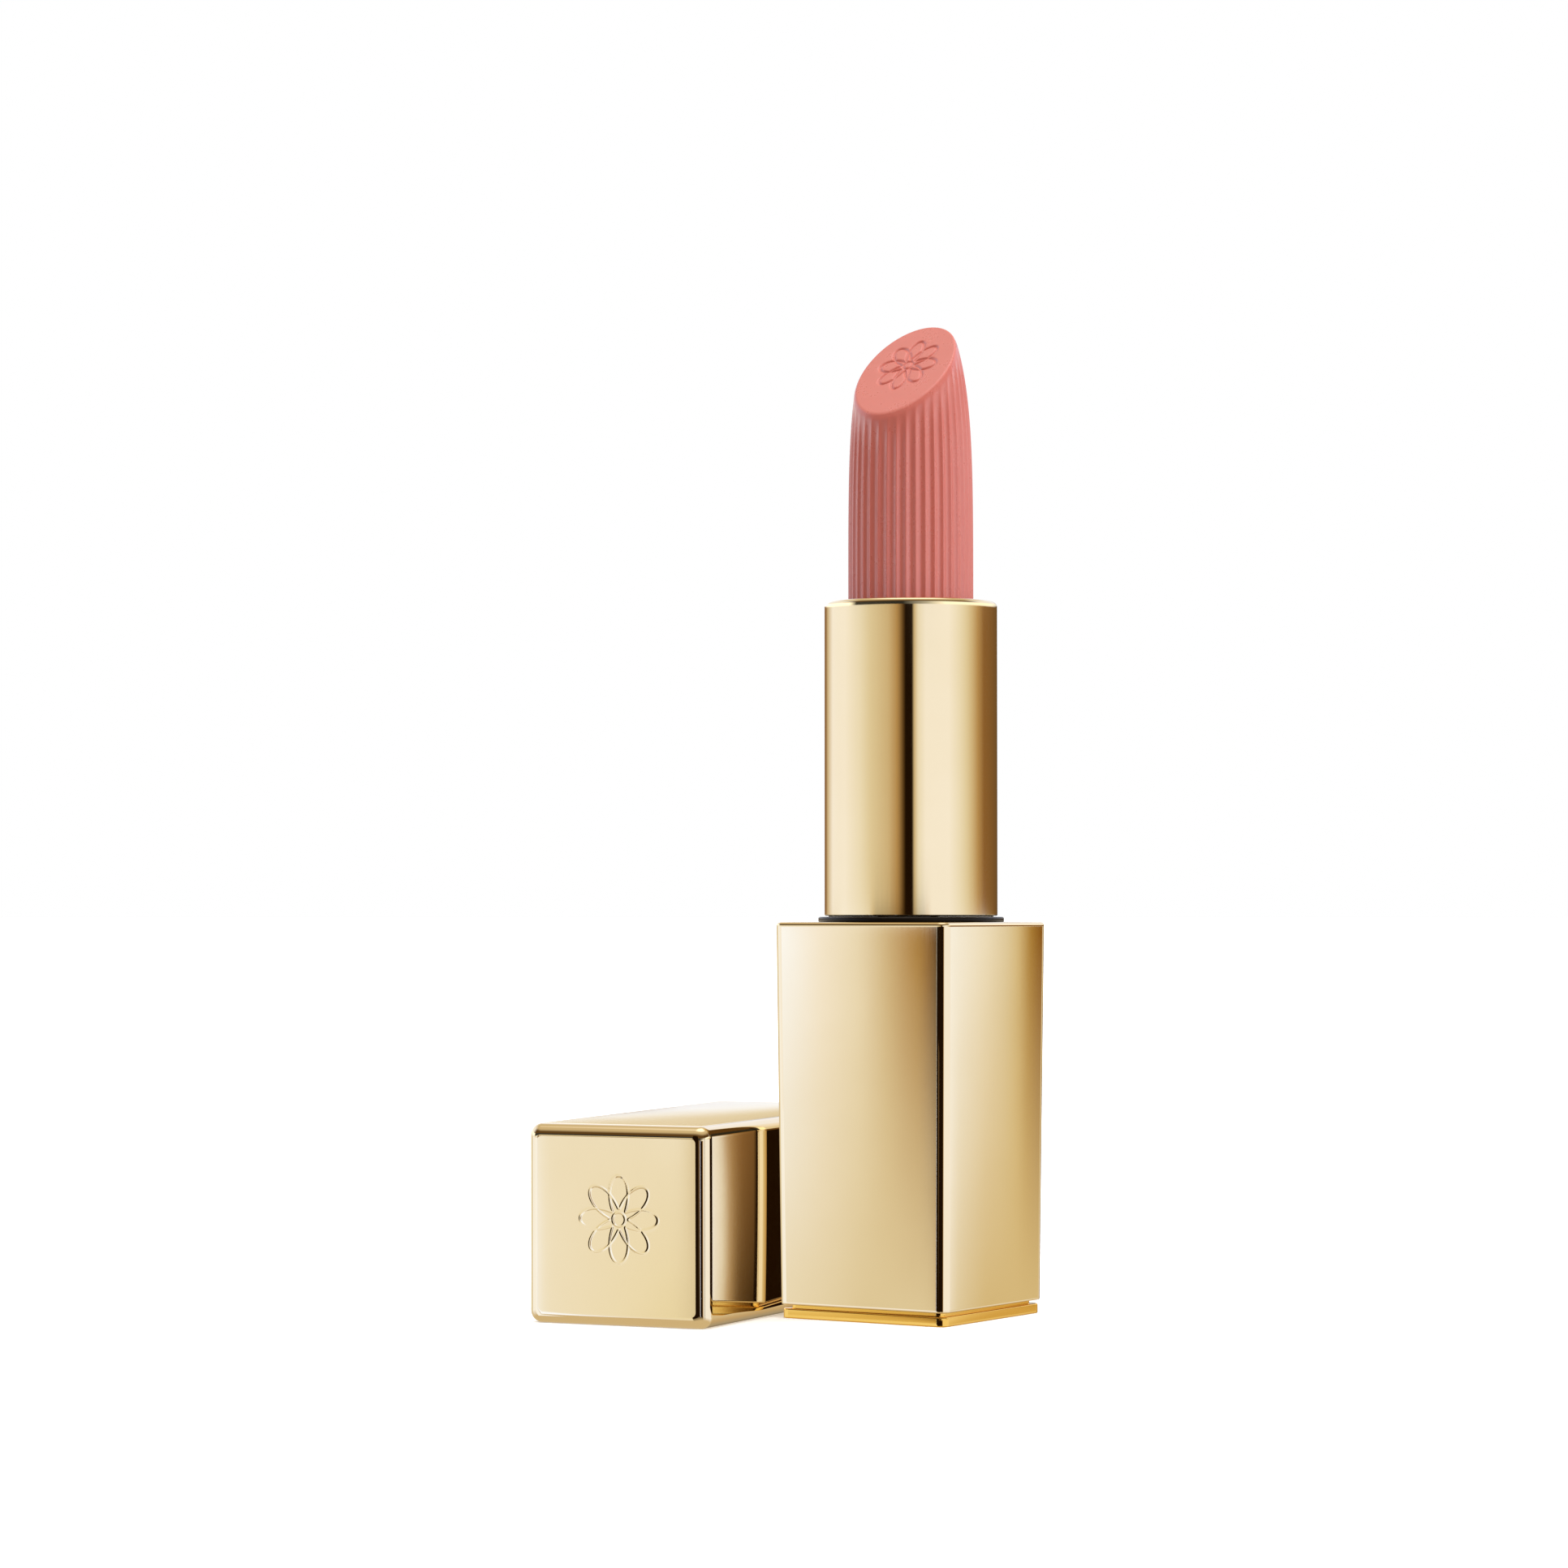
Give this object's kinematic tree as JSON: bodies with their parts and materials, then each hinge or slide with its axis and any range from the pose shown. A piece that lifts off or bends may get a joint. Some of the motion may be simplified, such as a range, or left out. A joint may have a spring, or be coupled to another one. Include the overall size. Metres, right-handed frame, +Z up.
{
  "type": "lipstick case",
  "caption": "Square twist-up lipstick case in polished gold, stick turned out, with its square cap lying beside it.",
  "frame": {"origin": "centre of the foot's underside, on the surface that the case stands on", "axes": "+Z up along the stick and the axis of the twist; X and Y across the square base's sides; the slanted face of the stick looks towards -Y and up"},
  "size_m": [0.0426, 0.0435, 0.0959],
  "materials": {
    "gold_case": "mirror-polished, pale gold anodised",
    "gold_tube": "mirror-polished, pale gold anodised",
    "gold_foot": "polished, deeper gold",
    "collar": "moulded, near-black brown, semi-gloss",
    "liner": "moulded, fine satin",
    "mechanism": "moulded, fine satin",
    "ballast": "turned steel",
    "o_ring": "silicone, satin",
    "cup": "metallised gold, gloss",
    "lipstick": "satin wax, coral rose",
    "label": "blank printed film"
  },
  "bodies": {
    "base": {"base_foot": "gold_foot", "shade_label": "label", "base_shell": "gold_case", "base_liner": "liner", "base_weight": "ballast", "collar": "collar", "inner_body": "mechanism", "torque_o_ring": "o_ring"},
    "tube": {"cam_sleeve": "mechanism", "tube_shell": "gold_tube"},
    "carrier": {"cup": "cup", "stick": "lipstick"},
    "cap": {"cap_shell": "gold_case", "cap_liner": "liner", "cap_weight": "ballast"}
  },
  "joints": [
    {"name": "tube_twist", "type": "hinge", "parent": "base", "child": "tube", "pos_m": [0, 0, 0.0378], "axis": [0, 0, 1], "range_deg": [0, 540]},
    {"name": "stick_travel", "type": "slide", "parent": "base", "child": "carrier", "axis": [0, 0, 1], "range_m": [-0.027, 0]},
    {"name": "cap_lift", "type": "slide", "parent": "base", "child": "cap", "axis": [0, 0, 1], "range_m": [0, 0.06]}
  ],
  "couplings": [
    {"joint": "stick_travel", "follows": "tube_twist", "m_per_rad": -0.0028648}
  ]
}
